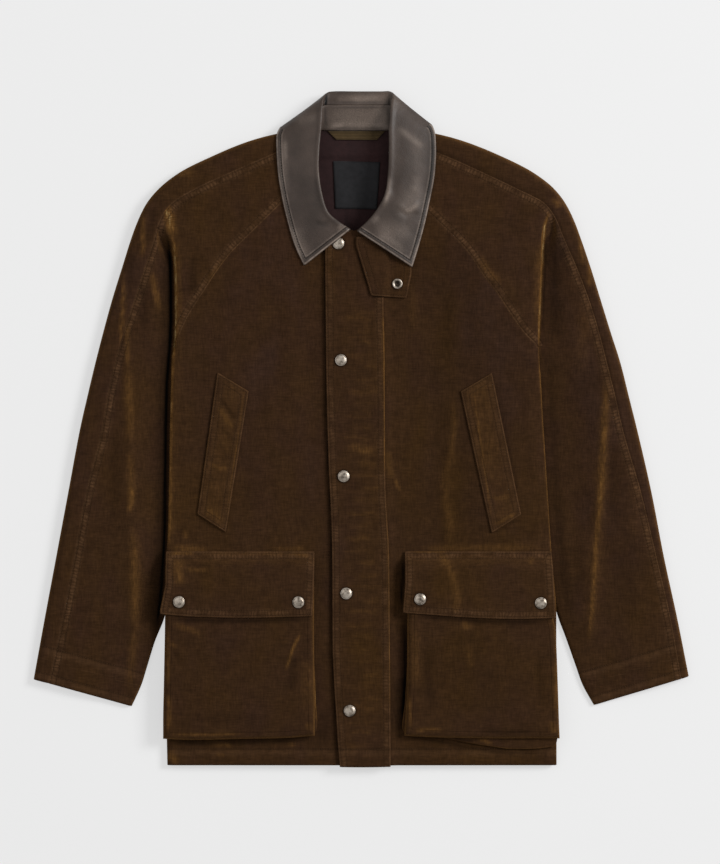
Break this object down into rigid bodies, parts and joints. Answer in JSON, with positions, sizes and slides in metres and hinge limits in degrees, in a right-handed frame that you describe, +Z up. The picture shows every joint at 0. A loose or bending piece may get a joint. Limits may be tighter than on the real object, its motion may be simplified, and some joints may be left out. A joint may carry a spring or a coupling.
{
  "type": "stable jacket",
  "caption": "Sueded cotton field jacket laid on its back: snapped placket, raglan sleeves, leather collar, throat latch, slanted welts and flapped bellows pockets.",
  "frame": {"origin": "on the surface the jacket lies on, under the middle of its laid outline", "axes": "+X to the wearer's left, +Y from the hem to the collar, +Z up from the surface, out of the fronts"},
  "size_m": [0.8525, 0.8773, 0.0354],
  "materials": {
    "sueded_cotton": "sueded, matt with a golden nap",
    "collar_leather": "soft satin",
    "lining_cloth": "smooth matt",
    "loop_tape": "ribbed matt",
    "label_weave": "plain weave, bare",
    "nickel": "polished nickel"
  },
  "bodies": {
    "root": {"back": "sueded_cotton", "front_right": "sueded_cotton", "front_left": "sueded_cotton", "placket": "sueded_cotton", "sleeve_front_right": "sueded_cotton", "sleeve_front_left": "sueded_cotton", "sleeve_back_right": "sueded_cotton", "sleeve_back_left": "sueded_cotton", "throat_latch": "sueded_cotton", "welt_right": "sueded_cotton", "welt_left": "sueded_cotton", "pocket_right": "sueded_cotton", "pocket_left": "sueded_cotton", "gusset_right": "sueded_cotton", "gusset_left": "sueded_cotton", "flap_right": "sueded_cotton", "flap_left": "sueded_cotton", "collar_fall": "collar_leather", "collar_stand": "collar_leather", "lining": "lining_cloth", "label": "label_weave", "hanger_loop": "loop_tape", "latch_snap": "nickel", "front_snap_1": "nickel", "front_snap_2": "nickel", "front_snap_3": "nickel", "front_snap_4": "nickel", "front_snap_5": "nickel", "flap_snap_right_1": "nickel", "flap_snap_right_2": "nickel", "flap_snap_left_1": "nickel", "flap_snap_left_2": "nickel"}
  },
  "joints": []
}
